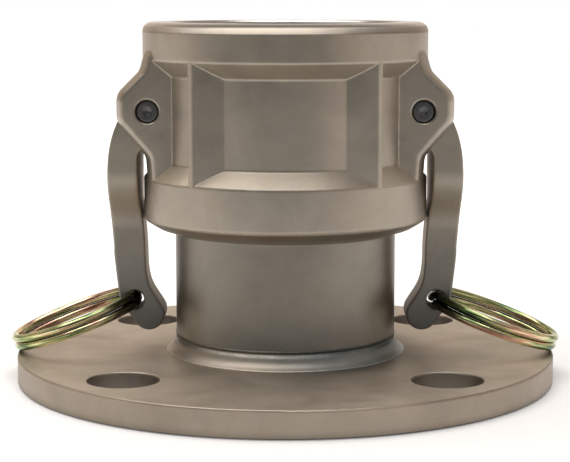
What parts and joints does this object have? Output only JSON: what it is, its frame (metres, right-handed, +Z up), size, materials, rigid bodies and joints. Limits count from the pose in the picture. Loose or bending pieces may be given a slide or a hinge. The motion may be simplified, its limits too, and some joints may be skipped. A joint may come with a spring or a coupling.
{
  "type": "flanged cam and groove coupler",
  "caption": "Quick-release pipe coupler on a round bolting flange: a cast socket with hinged cam arms that clamp an adapter against a gasket, and pull rings on the arms.",
  "frame": {"origin": "centre of the flange's underside, the face that is bolted to the pipework", "axes": "+Z up the bore to the mouth of the socket, +X towards the right arm, +Y away from the picture's viewer, along the hinge pins"},
  "size_m": [0.1568, 0.1524, 0.1005],
  "materials": {
    "flange_steel": "blasted matte",
    "cast_steel": "blasted matte investment casting",
    "weld_metal": "satin weld bead",
    "gasket_rubber": "matte",
    "pin_steel": "dark satin",
    "arm_steel": "blasted matte investment casting",
    "ring_wire": "yellow zinc plating, glossy"
  },
  "bodies": {
    "coupler": {"flange_plate": "flange_steel", "coupler_body": "cast_steel", "outer_weld": "weld_metal", "inner_weld": "weld_metal", "gasket": "gasket_rubber", "left_pin": "pin_steel", "right_pin": "pin_steel"},
    "left_arm": {"left_cam_arm": "arm_steel"},
    "right_arm": {"right_cam_arm": "arm_steel"},
    "left_ring": {"left_pull_ring": "ring_wire"},
    "right_ring": {"right_pull_ring": "ring_wire"}
  },
  "joints": [
    {"name": "left_arm_hinge", "type": "hinge", "parent": "coupler", "child": "left_arm", "pos_m": [-0.03775, 0, 0.07635], "axis": [0, 1, 0], "range_deg": [0, 110]},
    {"name": "right_arm_hinge", "type": "hinge", "parent": "coupler", "child": "right_arm", "pos_m": [0.03775, 0, 0.07635], "axis": [0, -1, 0], "range_deg": [0, 110]},
    {"name": "left_ring_hinge", "type": "hinge", "parent": "left_arm", "child": "left_ring", "pos_m": [-0.0427, 0, 0.0224], "axis": [0, 1, 0], "range_deg": [0, 93]},
    {"name": "right_ring_hinge", "type": "hinge", "parent": "right_arm", "child": "right_ring", "pos_m": [0.0427, 0, 0.0224], "axis": [0, -1, 0], "range_deg": [0, 93]}
  ]
}
